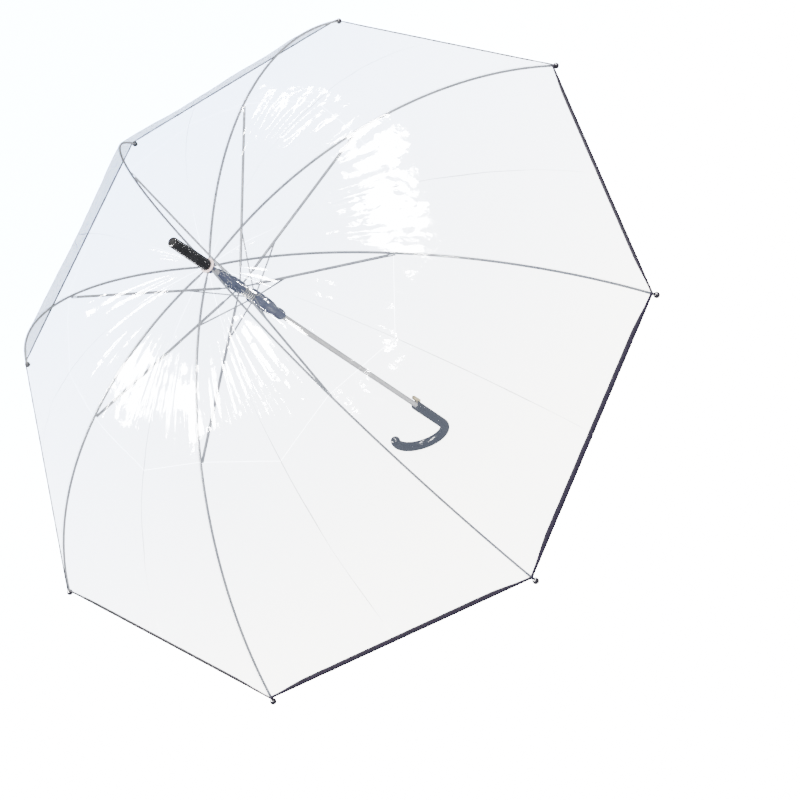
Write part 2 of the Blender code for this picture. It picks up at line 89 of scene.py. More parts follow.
# The film and what is on it
FILM_LIFT = 0.0024
FILM_HOLE = 0.0095
FILM_END = 0.9875
SEAM_GAP = 0.00015
FILM_SAG = 0.0035
RIB_HOLD = 0.011
FOLD_DEPTH, PLEAT_DEPTH = 0.0020, 0.0008
CRUMPLE_DEPTH, CREASE_DEPTH = 0.0026, 0.0010
HALF_COLUMNS = 24
CROWN_ROWS, SKIRT_ROWS = 56, 64
WELD_WIDTH, WELD_LIFT = 0.0034, 0.00025
WELD_START, WELD_END = 0.03, 0.984
WELD_GAP = 0.0005
BINDING_WIDTH = 0.0086
BINDING_END = 0.0044
BINDING_HALF = 0.0009
HEM_DROP = 0.0006
POCKET_START, POCKET_END = 0.970, 0.990

# Ribs, runners, spring and button
RIB_END = 0.9925
CHANNEL_START = 0.0090
EYE_RADIUS, EYE_FILLET = 0.0018, 0.0006
EYE_THICKNESS = 0.0014
LUG_RADIUS, LUG_THICKNESS = 0.0013, 0.0012
RIVET_RADIUS, RIVET_LENGTH = 0.00055, 0.0030
FERRULE_BASE, FERRULE_TIP = 0.0047, 0.083
SLOT_HALF = 0.0010
# Guide tube under the spring: a real guide, whose dark plastic is also painted shade on the
# shaft between the turns
GUIDE_AND_SHADE_LENGTH = 0.034
GUIDE_AND_SHADE_RADIUS = 0.0051
COLLAR_BELOW = 0.0035
CUP_RADIUS, CUP_RIM, CUP_FLOOR = 0.0072, 0.0020, -0.043
WIRE_RADIUS, COIL_RADIUS, COIL_TURNS = 0.00065, 0.0061, 18
SPRING_CLEAR = 0.0003
HANDLE_EDGE = 0.0008
HOOK_CAP = 0.0047

# The camera, in the frame's own coordinates
CAMERA_PLACE = (-0.7265, 1.0968, 2.1456)
CAMERA_TURN = (22.553, 27.132, 162.153)
CAMERA_LENS = 69.05
CAMERA_SHIFT = (0.0125, -0.10)

# The backdrop's brightness as the camera sees it, and the sky's as the umbrella does
FLOOR_GLOW = 17.0
SKY_LIGHT = 0.5


# ---------------------------------------------------------------- the ribs' curve

def rib_angle(t):
    """Slope below the horizontal at t, a share of the rib's length, in radians."""
    hub, middle, tip = RIB_SLOPES
    bend = 2 * (hub + tip - 2 * middle)
    return math.radians(hub + (tip - hub - bend) * t + bend * t * t)


def rib_point(t, lift=0.0):
    """(x, z) of the rib's centreline at t, raised by lift along its outward normal."""
    steps = 60
    x, z = HINGE_RADIUS, 0.0
    for i in range(steps):
        angle = rib_angle(t * (i + 0.5) / steps)
        x += RIB_LENGTH * t / steps * math.cos(angle)
        z -= RIB_LENGTH * t / steps * math.sin(angle)
    angle = rib_angle(t)
    return Vector((x + lift * math.sin(angle), z + lift * math.cos(angle)))


CURVE = [rib_point(i / CURVE_STEPS) for i in range(CURVE_STEPS + 1)]


def curve_point(t, lift=0.0):
    """rib_point read from the ready-made curve, which is quicker."""
    place = min(max(t, 0.0), 1.0) * CURVE_STEPS
    i = min(int(place), CURVE_STEPS - 1)
    point = CURVE[i].lerp(CURVE[i + 1], place - i)
    angle = rib_angle(t)
    return Vector((point.x + lift * math.sin(angle), point.y + lift * math.cos(angle)))


def share_reaching(x, v, lift):
    """The t at which the film's point v across it is x out from the shaft."""
    low, high = 0.0, 1.0
    across = 1 - abs(v) * math.sin(HALF_GORE) ** 2
    for _ in range(32):
        middle = (low + high) / 2
        if curve_point(middle, lift).x * across < x:
            low = middle
        else:
            high = middle
    return low


FLEX = rib_point(STRETCHER_JOINT, RIB_HEIGHT / 2)
JOINT = rib_point(STRETCHER_JOINT, -JOINT_DROP)
RUNNER_HINGE_Z = 2 * JOINT.y


def rib_place(azimuth):
    """Where the rib frame at azimuth stands on the shaft."""
    return Matrix.Translation((0.0, 0.0, HUB_Z)) @ Matrix.Rotation(azimuth, 4, "Z")


def ribs():
    """(number, azimuth) for each rib."""
    return [(k + 1, FIRST_RIB + 2 * HALF_GORE * k) for k in range(RIB_COUNT)]


# ---------------------------------------------------------------- materials

class Finish:
    """A Principled material with a few helpers for its procedural detail."""

    def __init__(self, name, colour, roughness, metallic=0.0, **uniform):
        self.material = bpy.data.materials.new(name)
        self.material.use_nodes = True
        self.tree = self.material.node_tree
        self.shader = self.tree.nodes["Principled BSDF"]
        self.shader.inputs["Base Color"].default_value = (*colour, 1.0)
        self.shader.inputs["Roughness"].default_value = roughness
        self.shader.inputs["Metallic"].default_value = metallic
        for socket, value in uniform.items():
            self.shader.inputs[socket.replace("_", " ")].default_value = value
        coordinates = self.tree.nodes.new("ShaderNodeTexCoord")
        self.place = coordinates.outputs["Object"]
        self.height = None

    def noise(self, scale, detail=3.0, stretch=(1, 1, 1)):
        """Noise of about scale features to the metre, stretched along the axes."""
        mapping = self.tree.nodes.new("ShaderNodeMapping")
        mapping.inputs["Scale"].default_value = stretch
        texture = self.tree.nodes.new("ShaderNodeTexNoise")
        texture.inputs["Scale"].default_value = scale
        texture.inputs["Detail"].default_value = detail
        self.tree.links.new(self.place, mapping.inputs["Vector"])
        self.tree.links.new(mapping.outputs["Vector"], texture.inputs["Vector"])
        return texture.outputs["Fac"]

    def spread(self, value, low, high, start=0.3, end=0.7):
        """Maps a texture's middle range to low..high."""
        ramp = self.tree.nodes.new("ShaderNodeMapRange")
        ramp.inputs["From Min"].default_value = start
        ramp.inputs["From Max"].default_value = end
        ramp.inputs["To Min"].default_value = low
        ramp.inputs["To Max"].default_value = high
        self.tree.links.new(value, ramp.inputs["Value"])
        return ramp.outputs["Result"]

    def colours(self, value, first, second, start=0.35, end=0.65):
        """Base colour between first and second by a texture."""
        ramp = self.tree.nodes.new("ShaderNodeValToRGB")
        ramp.color_ramp.elements[0].position = start
        ramp.color_ramp.elements[1].position = end
        ramp.color_ramp.elements[0].color = (*first, 1.0)
        ramp.color_ramp.elements[1].color = (*second, 1.0)
        self.tree.links.new(value, ramp.inputs["Fac"])
        self.tree.links.new(ramp.outputs["Color"], self.shader.inputs["Base Color"])
        return self

    def rough(self, value, low, high):
        self.tree.links.new(self.spread(value, low, high), self.shader.inputs["Roughness"])
        return self

    def bump(self, value, distance, strength=1.0):
        """Adds a layer of relief, distance metres deep, over those already there."""
        node = self.tree.nodes.new("ShaderNodeBump")
        node.inputs["Distance"].default_value = distance
        node.inputs["Strength"].default_value = strength
        self.tree.links.new(value, node.inputs["Height"])
        if self.height:
            self.tree.links.new(self.height, node.inputs["Normal"])
        self.height = node.outputs["Normal"]
        self.tree.links.new(self.height, self.shader.inputs["Normal"])
        return self


def film_finish(name, alpha):
    """Clear soft film: glossy, slightly hazy, with fine handling creases."""
    finish = Finish(name, (0.034, 0.040, 0.054), 0.07, Alpha=alpha, IOR=1.53)
    creases = finish.noise(70, 2.0)
    finish.colours(finish.noise(4, 2.0), (0.028, 0.035, 0.056), (0.036, 0.040, 0.050))
    finish.rough(finish.noise(25, 3.0), 0.05, 0.13)
    return finish.bump(creases, 0.0008, 0.6).material


def steel_finish(name, dark, light, roughness):
    """Lacquered or drawn steel with draw lines and faint staining."""
    finish = Finish(name, light, roughness, 0.2)
    finish.colours(finish.noise(90, 4.0), dark, light)
    finish.rough(finish.noise(400, 3.0), roughness - 0.08, roughness + 0.12)
    return finish.bump(finish.noise(1500, 2.0), 0.00004, 0.5).material


def enamel_finish():
    """Pale grey enamel on the tube, with orange peel and a few dull patches."""
    finish = Finish("shaft_enamel", (0.74, 0.74, 0.74), 0.28, 0.0, Coat_Weight=0.3)
    finish.colours(finish.noise(30, 4.0), (0.68, 0.68, 0.69), (0.78, 0.78, 0.78))
    finish.rough(finish.noise(120, 3.0), 0.20, 0.38)
    return finish.bump(finish.noise(700, 2.0), 0.00005, 0.5).material


def grey_plastic_finish():
    """Dark blue-grey moulded plastic with a fine spark-eroded surface."""
    finish = Finish("runner_plastic", (0.075, 0.080, 0.125), 0.42, Specular_IOR_Level=0.25)
    finish.colours(finish.noise(110, 4.0), (0.060, 0.065, 0.105), (0.090, 0.096, 0.145))
    finish.rough(finish.noise(300, 2.0), 0.34, 0.52)
    return finish.bump(finish.noise(2500, 2.0), 0.00005, 0.6).material


def black_plastic_finish(name, tint=(0.0048, 0.0046, 0.0048)):
    """Glossy black moulding: faint flow marks, rub haze and fine scratches."""
    lighter = tuple(1.7 * c for c in tint)
    finish = Finish(name, tint, 0.18, 0.0, Coat_Weight=0.15, Coat_Roughness=0.08)
    finish.colours(finish.noise(45, 5.0), tint, lighter, 0.4, 0.75)
    finish.rough(finish.noise(160, 5.0, (1, 1, 0.4)), 0.15, 0.28)
    finish.bump(finish.noise(60, 2.0), 0.00001, 0.3)
    return finish.bump(finish.noise(1400, 2.0), 0.000004, 0.4).material


def cream_finish():
    finish = Finish("button_cream", (0.80, 0.66, 0.34), 0.35)
    finish.colours(finish.noise(200, 4.0), (0.74, 0.58, 0.26), (0.86, 0.74, 0.44))
    finish.rough(finish.noise(500, 2.0), 0.28, 0.45)
    return finish.bump(finish.noise(1500, 2.0), 0.00004, 0.5).material


def rosette_finish():
    finish = Finish("rosette_clear", (0.86, 0.66, 0.62), 0.20, Alpha=0.75)
    finish.colours(finish.noise(250, 3.0), (0.90, 0.74, 0.70), (0.78, 0.56, 0.52))
    finish.rough(finish.noise(300, 2.0), 0.15, 0.35)
    return finish.bump(finish.noise(900, 2.0), 0.0001, 0.5).material


def binding_finish():
    """Woven synthetic tape, black with a purple cast, in fine cross ribs."""
    finish = Finish("binding_tape", (0.012, 0.009, 0.018), 0.70, Specular_IOR_Level=0.2)
    finish.colours(finish.noise(350, 4.0), (0.004, 0.003, 0.008), (0.010, 0.007, 0.016))
    finish.rough(finish.noise(600, 2.0), 0.50, 0.75)
    finish.bump(finish.noise(2600, 1.0, (1, 1, 0.3)), 0.00012, 0.8)
    return finish.bump(finish.noise(150, 2.0), 0.0003, 0.5).material


def floor_finish():
    """A lit pale floor, cool on one side and warm on the other."""
    finish = Finish("pale_floor", (0.90, 0.90, 0.90), 0.85)
    ramp = finish.tree.nodes.new("ShaderNodeValToRGB")
    ramp.color_ramp.elements[0].color = (0.52, 0.68, 1.0, 1.0)
    ramp.color_ramp.elements[1].color = (1.0, 0.985, 0.93, 1.0)
    slope = finish.tree.nodes.new("ShaderNodeVectorMath")
    slope.operation = "DOT_PRODUCT"
    slope.inputs[1].default_value = (0.35, -0.94, 0.0)
    finish.tree.links.new(finish.place, slope.inputs[0])
    across = finish.spread(slope.outputs["Value"], 1.0, 0.0, -0.1, 1.0)
    finish.tree.links.new(across, ramp.inputs["Fac"])
    finish.tree.links.new(ramp.outputs["Color"], finish.shader.inputs["Emission Color"])
    finish.shader.inputs["Emission Strength"].default_value = FLOOR_GLOW
    return finish.material


FILM = film_finish("clear_film", 0.60)
WELD = film_finish("welded_film", 0.18)
RIB_STEEL = steel_finish("rib_steel", (0.60, 0.63, 0.68), (0.82, 0.84, 0.88), 0.34)
WIRE_STEEL = steel_finish("spring_wire", (0.60, 0.58, 0.50), (0.84, 0.82, 0.72), 0.26)
ENAMEL = enamel_finish()
GREY_PLASTIC = grey_plastic_finish()
BLACK_PLASTIC = black_plastic_finish("handle_black")
TIP_BLACK = black_plastic_finish("tip_black", (0.006, 0.005, 0.008))
CREAM = cream_finish()
ROSETTE = rosette_finish()
BINDING = binding_finish()


# ---------------------------------------------------------------- mesh helpers

def mesh_of(bm, name):
    bmesh.ops.recalc_face_normals(bm, faces=bm.faces)
    mesh = bpy.data.meshes.new(name)
    bm.to_mesh(mesh)
    bm.free()
    return mesh


def piece(name, mesh, material, body, replaced=(), sharp=35.0):
    """A visible piece that rides on a body and stands for the replaced CAD nodes."""
    mesh.materials.clear()
    mesh.materials.append(material)
    mesh.shade_smooth()
    mesh.set_sharp_from_angle(angle=math.radians(sharp))
    obj = bpy.data.objects.new(name, mesh)
    bpy.context.scene.collection.objects.link(obj)
    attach(obj, body)
    if replaced:
        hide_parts(*replaced)
    return obj


def joined(meshes, name):
    """One mesh of several closed shells."""
    bm = bmesh.new()
    for mesh in meshes:
        bm.from_mesh(mesh)
        bpy.data.meshes.remove(mesh)
    return mesh_of(bm, name)


def carved(mesh, cutters):
    """The mesh with the cutters taken away."""
    work = bpy.data.objects.new("work", mesh)
    bpy.context.scene.collection.objects.link(work)
    tools = []
    for cutter in cutters:
        tool = bpy.data.objects.new("tool", cutter)
        bpy.context.scene.collection.objects.link(tool)
        step = work.modifiers.new("cut", "BOOLEAN")
        step.operation = "DIFFERENCE"
        step.object = tool
        tools.append(tool)
    bpy.context.view_layer.update()
    evaluated = work.evaluated_get(bpy.context.evaluated_depsgraph_get())
    result = bpy.data.meshes.new_from_object(evaluated)
    for obj in (work, *tools):
        bpy.data.objects.remove(obj, do_unlink=True)
    return result


def grid_mesh(rows, name):
    """An open surface through rows of points."""
    bm = bmesh.new()
    made = [[bm.verts.new(point) for point in row] for row in rows]
    for row, following in zip(made, made[1:]):
        for i in range(len(row) - 1):
            bm.faces.new((row[i], following[i], following[i + 1], row[i + 1]))
    mesh = bpy.data.meshes.new(name)
    bm.to_mesh(mesh)
    bm.free()
    return mesh


def tube_mesh(rings, name):
    """A closed solid through rings of points, with flat ends."""
    bm = bmesh.new()
    made = [[bm.verts.new(point) for point in ring] for ring in rings]
    count = len(made[0])
    for ring, following in zip(made, made[1:]):
        for i in range(count):
            j = (i + 1) % count
            bm.faces.new((ring[i], ring[j], following[j], following[i]))
    bm.faces.new(made[0])
    bm.faces.new(made[-1])
    return mesh_of(bm, name)


def lathe(profile, segments, name="turned"):
    """A solid of revolution about Z; a profile off the axis closes into a ring."""
    bm = bmesh.new()
    verts = [bm.verts.new((r, 0.0, z)) for r, z in profile]
    pairs = list(zip(verts, verts[1:]))
    if profile[0][0] > 0:
        pairs.append((verts[-1], verts[0]))
    edges = [bm.edges.new(pair) for pair in pairs]
    bmesh.ops.spin(
        bm, geom=verts + edges, cent=(0, 0, 0), axis=(0, 0, 1), angle=2 * math.pi,
        steps=segments, use_merge=True,
    )
    bmesh.ops.remove_doubles(bm, verts=bm.verts, dist=1e-6)
    return mesh_of(bm, name)


def rounded(corners, radius, steps=3):
    """A profile whose corners, all but the end ones, are rounded by a small radius."""
    points = [corners[0]]
    for before, corner, after in zip(corners, corners[1:], corners[2:]):
        here = Vector(corner)
        back, ahead = Vector(before) - here, Vector(after) - here
        reach = min(radius, back.length * 0.45, ahead.length * 0.45)
        start, end = here + back.normalized() * reach, here + ahead.normalized() * reach
        for i in range(steps + 1):
            u = i / steps
            bent = start * (1 - u) ** 2 + here * 2 * u * (1 - u) + end * u ** 2
            points.append((bent.x, bent.y))
    points.append(corners[-1])
    return points


def block(low, high, azimuth=0.0):
    """A box from low to high, turned about Z."""
    bm = bmesh.new()
    size = [h - l for l, h in zip(low, high)]
    centre = [(l + h) / 2 for l, h in zip(low, high)]
    place = Matrix.Rotation(azimuth, 4, "Z") @ Matrix.Translation(centre)
    bmesh.ops.create_cube(bm, size=1.0, matrix=place @ Matrix.Diagonal((*size, 1.0)))
    return mesh_of(bm, "block")


def plate(outline, thickness):
    """A flat plate in the rib's plane from (x, z) points."""
    bm = bmesh.new()
    face = bm.faces.new([bm.verts.new((x, -thickness / 2, z)) for x, z in outline])
    grown = bmesh.ops.extrude_face_region(bm, geom=[face])
    moved = [v for v in grown["geom"] if isinstance(v, bmesh.types.BMVert)]
    bmesh.ops.translate(bm, verts=moved, vec=(0.0, thickness, 0.0))
    return mesh_of(bm, "plate")


def rivet(point, radius, length):
    """A rivet across the rib's plane, with a low domed head at each end."""
    half, head, dome = length / 2, 1.7 * radius, 0.35 * radius
    profile = [
        (0.0, -half - dome), (0.7 * head, -half - 0.7 * dome), (head, -half), (radius, -half),
        (radius, half), (head, half), (0.7 * head, half + 0.7 * dome), (0.0, half + dome),
    ]
    mesh = lathe(profile, 14, "rivet")
    mesh.transform(
        Matrix.Translation((point.x, 0.0, point.y)) @ Matrix.Rotation(math.pi / 2, 4, "X")
    )
    return mesh


def along(point, angle, length):
    """The point length away at angle in a flat drawing."""
    return point + length * Vector((math.cos(angle), math.sin(angle)))


# ---------------------------------------------------------------- canopy film

def smooth_step(value, start, end):
    u = min(max((value - start) / (end - start), 0.0), 1.0)
    return u * u * (3 - 2 * u)


def film_place(t, v, lift):
    """The film's smooth shape in a rib's frame, v across from mid-gore to mid-gore."""
    point = curve_point(t, lift)
    across = 1 - abs(v) * math.sin(HALF_GORE) ** 2
    x = point.x * across
    y = v * point.x * math.sin(HALF_GORE) * math.cos(HALF_GORE)
    return Vector((x, y - v * SEAM_GAP, point.y))


def wrinkle(spot, t):
    """How far the film stands off its smooth shape, from its place about the shaft."""
    length = t * RIB_LENGTH
    azimuth = math.atan2(spot.y, spot.x)
    rounds = Vector((math.cos(azimuth), math.sin(azimuth)))
    folds = noise.noise(Vector((26 * rounds.x, 26 * rounds.y, 5.0 * length)))
    pleats = noise.noise(Vector((60 * rounds.x, 60 * rounds.y, 3.0 * length + 7)))
    crumple = noise.noise(spot * 15 + Vector((3.1, 0.0, 0.0)))
    creases = abs(noise.noise(spot * 42 + Vector((0.0, 5.7, 0.0)))) ** 0.7
    near_hub = 1 - smooth_step(length, 0.16, 0.36)
    near_hem = smooth_step(length, 0.40, 0.58)
    total = FOLD_DEPTH * folds * (0.10 + near_hub)
    total += PLEAT_DEPTH * pleats * near_hub
    total += CRUMPLE_DEPTH * crumple * (1 - 0.5 * near_hem)
    total += CREASE_DEPTH * (creases - 0.4) * (1 - 0.7 * near_hem)
    return total


def film_rows(azimuth, first, last, steps, columns):
    """Rows of points for film by the rib at azimuth, between the shares first and last."""
    turn = Matrix.Rotation(azimuth, 4, "Z")
    ends = [(first(abs(v)), last(abs(v)), v) for v in columns]
    rows = []
    for i in range(steps + 1):
        row = []
        for start, end, v in ends:
            t = start + (end - start) * i / steps
            smooth = film_place(t, v, FILM_LIFT)
            held = 1 - math.exp(-((smooth.y / RIB_HOLD) ** 2))
            held *= smooth_step(t, 0.02, 0.12) * (1 - smooth_step(t, 0.93, FILM_END))
            angle = rib_angle(t)
            normal = Vector((math.sin(angle), 0.0, math.cos(angle)))
            sag = -FILM_SAG * smooth_step(abs(v), 0.0, 1.0) * math.sin(math.pi * t)
            row.append(smooth + normal * (held * wrinkle(turn @ smooth, t) + sag))
        rows.append(row)
    return rows


def area_of(mesh):
    return sum(polygon.area for polygon in mesh.polygons)


def film_half(name, azimuth, side, first, last, steps, body, nodes):
    """Half a gore's film from a rib to mid-gore: the piece, its cut size and its area."""
    columns = [side * i / HALF_COLUMNS for i in range(HALF_COLUMNS + 1)]
    mesh = grid_mesh(film_rows(azimuth, first, last, steps, columns), name)
    width = curve_point(last(0.0)).x * math.sin(HALF_GORE)
    length = (last(0.0) - first(0.0)) * RIB_LENGTH
    area = area_of(mesh)
    mesh.transform(rib_place(azimuth))
    film = piece(name, mesh, FILM, body, nodes, sharp=180.0)
    return film, (round(width, 3), round(length, 3)), round(area, 4)


def fold_axis(azimuth, side, start, end):
    """The way a half gore gathers onto its rib: square to the rib's chord from start to end."""
    chord = rib_point(end) - rib_point(start)
    chord = Vector((chord.x, 0.0, chord.y)).normalized()
    across = Vector((-math.sin(HALF_GORE), side * math.cos(HALF_GORE), 0.0))
    across -= across.dot(chord) * chord
    return tuple(Matrix.Rotation(azimuth, 3, "Z") @ across.normalized())


def weld_seam(name, azimuth, first, last, steps, body):
    """The welded overlap of two gores along a rib: a strip just over the film."""
    rows = []
    for i in range(steps + 1):
        t = first + (last - first) * i / steps
        point = curve_point(t, FILM_LIFT + WELD_LIFT)
        wave = 0.0002 * math.sin(t * 260)
        half = min(WELD_WIDTH / 2, 0.35 * point.x * math.sin(HALF_GORE))
        rows.append([
            Vector((point.x, -half + wave, point.y - 0.0001)),
            Vector((point.x, 0.0, point.y + 0.0001)),
            Vector((point.x, half + wave, point.y - 0.0001)),
        ])
    mesh = grid_mesh(rows, name)
    mesh.transform(rib_place(azimuth))
    return piece(name, mesh, WELD, body, sharp=180.0)


def canopy():
    """Two half-gore sheets a side of every rib, above and below its bend."""
    def from_hole(v):
        return share_reaching(FILM_HOLE, 0.0, FILM_LIFT)

    def to_seam(v):
        return share_reaching(FLEX.x - SEAM_GAP, v, FILM_LIFT)

    def from_seam(v):
        return share_reaching(FLEX.x + SEAM_GAP, v, FILM_LIFT)

    def to_hem(v):
        return FILM_END

    for number, azimuth in ribs():
        inner, outer = f"rib_inner_{number}", f"rib_outer_{number}"
        upper_weld = weld_seam(
            f"weld_crown_{number}", azimuth, WELD_START, STRETCHER_JOINT - WELD_GAP, 40, inner
        )
        lower_weld = weld_seam(
            f"weld_skirt_{number}", azimuth, STRETCHER_JOINT + WELD_GAP, WELD_END, 50, outer
        )
        for side, word in ((1, "a"), (-1, "b")):
            first = side == 1
            crown, cut, area = film_half(
                f"film_crown_{number}{word}", azimuth, side, from_hole, to_seam, CROWN_ROWS,
                inner,
                [f"canopy_crown_{number}"] if first else [],
            )
            axis = fold_axis(azimuth, side, 0.0, STRETCHER_JOINT)
            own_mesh(crown)
            skirt, cut, area = film_half(
                f"film_skirt_{number}{word}", azimuth, side, from_seam, to_hem, SKIRT_ROWS,
                outer,
                [f"canopy_skirt_{number}"] if first else [],
            )
            tape = binding(f"binding_{number}{word}", number, azimuth, side)
            axis = fold_axis(azimuth, side, STRETCHER_JOINT, 1.0)
            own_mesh(skirt)
            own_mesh(tape)


def binding(name, number, azimuth, side):
    """The tape folded over the hem, drawn in to a narrow end at the rib's tip."""
    rings = []
    columns = 48
    for i in range(columns + 1):
        v = side * i / columns
        full = smooth_step(abs(v), 0.02, 0.30)
        width = BINDING_END + (BINDING_WIDTH - BINDING_END) * full
        height = BINDING_HALF * (1 + 0.10 * math.sin(37 * v))
        sway = 0.0003 * noise.noise(Vector((11 * v, number * 3.0, 0.0)))
        angle = rib_angle(FILM_END)
        normal = Vector((math.sin(angle), 0.0, math.cos(angle)))
        down = Vector((math.cos(angle), 0.0, -math.sin(angle)))
        hem = film_place(FILM_END, v, FILM_LIFT) + down * (HEM_DROP + sway)
        ring = []
        for turn in range(10):
            around = 2 * math.pi * turn / 10
            back = -width / 2 + width / 2 * math.cos(around)
            up = height * math.sin(around) * (1 - 0.25 * math.cos(around))
            ring.append(hem + down * back + normal * up)
        rings.append(ring)
    mesh = tube_mesh(rings, name)
    mesh.transform(rib_place(azimuth))
    return piece(name, mesh, BINDING, f"rib_outer_{number}")


# ---------------------------------------------------------------- ribs and tips

def channel_rings(start, end, steps):
    """Rings of a channel with soft edges along the rib between two shares of it."""
    w, h, wall, soft = RIB_WIDTH / 2, RIB_HEIGHT / 2, RIB_WALL, 0.0004
    section = [
        (-w, -h), (-w, h - soft), (-w + soft, h), (w - soft, h), (w, h - soft), (w, -h),
        (w - wall, -h), (w - wall, h - wall), (-w + wall, h - wall), (-w + wall, -h),
    ]
    rings = []
    for i in range(steps + 1):
        t = start + (end - start) * i / steps
        point, angle = rib_point(t), rib_angle(t)
        normal = Vector((math.sin(angle), 0.0, math.cos(angle)))
        centre = Vector((point.x, 0.0, point.y))
        rings.append([centre + Vector((0.0, s, 0.0)) + normal * n for s, n in section])
    return rings


def eye_plate(centre, angle, length, half_height):
    """A flat tongue with a round eye at its end."""
    outline = []
    for i in range(13):
        outline.append(along(centre, angle + math.pi / 2 + math.pi * i / 12, EYE_RADIUS))
    neck = EYE_RADIUS + EYE_FILLET
    for reach, side in ((neck, -1), (length, -1), (length, 1), (neck, 1)):
        foot = along(centre, angle, reach)
        outline.append(along(foot, angle + side * math.pi / 2, half_height))
    return plate([(p.x, p.y) for p in outline], EYE_THICKNESS)


def upper_rib_mesh():
    """The rib's inner part with its eye, its lug for the stretcher and the rivet there."""
    start = CHANNEL_START / RIB_LENGTH
    end = STRETCHER_JOINT - SEAM_GAP / RIB_LENGTH
    shell = tube_mesh(channel_rings(start, end, 36), "channel")
    eye = eye_plate(Vector((HINGE_RADIUS, 0.0)), -rib_angle(0.0), 0.0130, 0.0010)
    slope = -rib_angle(STRETCHER_JOINT)
    outline = []
    for i in range(11):
        outline.append(along(JOINT, slope + math.pi + math.pi * i / 10, LUG_RADIUS))
    root = rib_point(STRETCHER_JOINT, RIB_HEIGHT / 2 - RIB_WALL)
    outline.append(along(root, slope + math.pi, 0.0004))
    outline.append(along(root, slope + math.pi, 0.0032))
    lug = plate([(p.x, p.y) for p in outline], LUG_THICKNESS)
    return joined([shell, eye, lug, rivet(JOINT, RIVET_RADIUS, RIVET_LENGTH)], "rib_upper")


def lower_rib_mesh():
    start = STRETCHER_JOINT + SEAM_GAP / RIB_LENGTH
    return tube_mesh(channel_rings(start, RIB_END, 48), "rib_lower")


def ball_tip_mesh():
    """The plastic end: sleeve, groove for the canopy's thread, neck and ball."""
    profile = [
        (0.0, -0.0074), (0.0016, -0.0074), (0.0019, -0.0070), (0.0019, -0.0056),
        (0.0015, -0.0053), (0.0015, -0.0048), (0.0019, -0.0045), (0.0018, -0.0036),
        (0.0014, -0.0031),
    ]
    radius, start = BALL_RADIUS, math.radians(24)
    for i in range(13):
        around = start + (math.pi - start) * i / 12
        profile.append((radius * math.sin(around), -radius * math.cos(around)))
    profile[-1] = (0.0, radius)
    mesh = lathe(profile, 24, "ball_tip")
    tip = rib_point(1.0)
    mesh.transform(
        Matrix.Translation((tip.x, 0.0, tip.y))
        @ Matrix.Rotation(math.pi / 2 + rib_angle(1.0), 4, "Y")
    )
    return mesh


def tip_pocket_mesh():
    """The clear tab that holds the film's corner to the rib's end."""
    rows = []
    for i in range(9):
        t = POCKET_START + (POCKET_END - POCKET_START) * i / 8
        point, half = curve_point(t, FILM_LIFT + 0.0004), 0.0022 + 0.0012 * (8 - i) / 8
        rows.append([
            Vector((point.x, half * s, point.y - 0.0008 * s * s)) for s in (-1, -0.5, 0, 0.5, 1)
        ])
    return grid_mesh(rows, "tip_pocket")


def rib_pieces():
    meshes = {
        "upper": upper_rib_mesh(), "lower": lower_rib_mesh(),
        "tip": ball_tip_mesh(), "pocket": tip_pocket_mesh(),
    }
    for number, azimuth in ribs():
        inner, outer = f"rib_inner_{number}", f"rib_outer_{number}"
        placed = {}
        for kind, mesh in meshes.items():
            placed[kind] = mesh.copy()
            placed[kind].transform(rib_place(azimuth))
        piece(f"rib_upper_{number}", placed["upper"], RIB_STEEL, inner, [inner])
        piece(f"rib_lower_{number}", placed["lower"], RIB_STEEL, outer, [outer])
        piece(f"ball_tip_{number}", placed["tip"], TIP_BLACK, outer)
        piece(f"tip_pocket_{number}", placed["pocket"], WELD, outer, sharp=180.0)


# ---------------------------------------------------------------- shaft, ferrule, rosette

def shaft_piece():
    low, high = HANDLE_TOP - SHAFT_ENTRY, HUB_Z + SHAFT_ENTRY
    section = [
        (TUBE_RADIUS, low), (SHAFT_RADIUS, low), (SHAFT_RADIUS, high), (TUBE_RADIUS, high),
    ]
    tube = lathe(section, 40, "shaft")
    slot = block(
        (0.001, -0.0016, HANDLE_TOP - 0.014), (0.006, 0.0016, HANDLE_TOP + 0.049),
        BUTTON_AZIMUTH,
    )
    piece("shaft_tube", carved(tube, [slot]), ENAMEL, "grip", ["shaft"])


def ferrule_piece():
    base, tip = FERRULE_BASE, FERRULE_TIP
    corners = [
        (BORE, SOCKET_DEPTH), (BORE, base), (0.0072, base), (0.0080, base + 0.0010),
        (0.0080, base + 0.0040), (0.0078, base + 0.0044), (0.0076, 0.045), (0.0070, tip - 0.006),
        (0.0071, tip - 0.0055), (0.0071, tip - 0.0022), (0.0058, tip), (0.0030, tip),
        (0.0, tip),
    ]
    profile = rounded(corners, 0.0009)
    profile.insert(0, (0.0, SOCKET_DEPTH))
    mesh = lathe(profile, 48, "ferrule")
    mesh.transform(Matrix.Translation((0.0, 0.0, HUB_Z)))
    piece("ferrule_cap", mesh, BLACK_PLASTIC, "grip", ["ferrule"])


def rosette_piece():
    """A small clear washer with a scalloped rim."""
    bm = bmesh.new()
    segments, rings = 64, [(BORE, 0.0037), (0.0085, 0.0037), (0.0104, 0.0036), (0.0103, 0.0042),
                           (0.0085, 0.0044), (BORE, 0.0044)]
    made = []
    for radius, height in rings:
        scallop = 0.0003 if radius > 0.010 else 0.0
        ring = []
        for i in range(segments):
            around = 2 * math.pi * i / segments
            r = radius - scallop * (1 + math.cos(16 * around)) / 2
            ring.append(bm.verts.new((r * math.cos(around), r * math.sin(around), height)))
        made.append(ring)
    for ring, following in zip(made, made[1:] + made[:1]):
        for i in range(segments):
            j = (i + 1) % segments
            bm.faces.new((ring[i], ring[j], following[j], following[i]))
    mesh = mesh_of(bm, "rosette")
    mesh.transform(Matrix.Translation((0.0, 0.0, HUB_Z)))
    piece("rosette_washer", mesh, ROSETTE, "grip", ["rosette"])


# ---------------------------------------------------------------- runners and spring

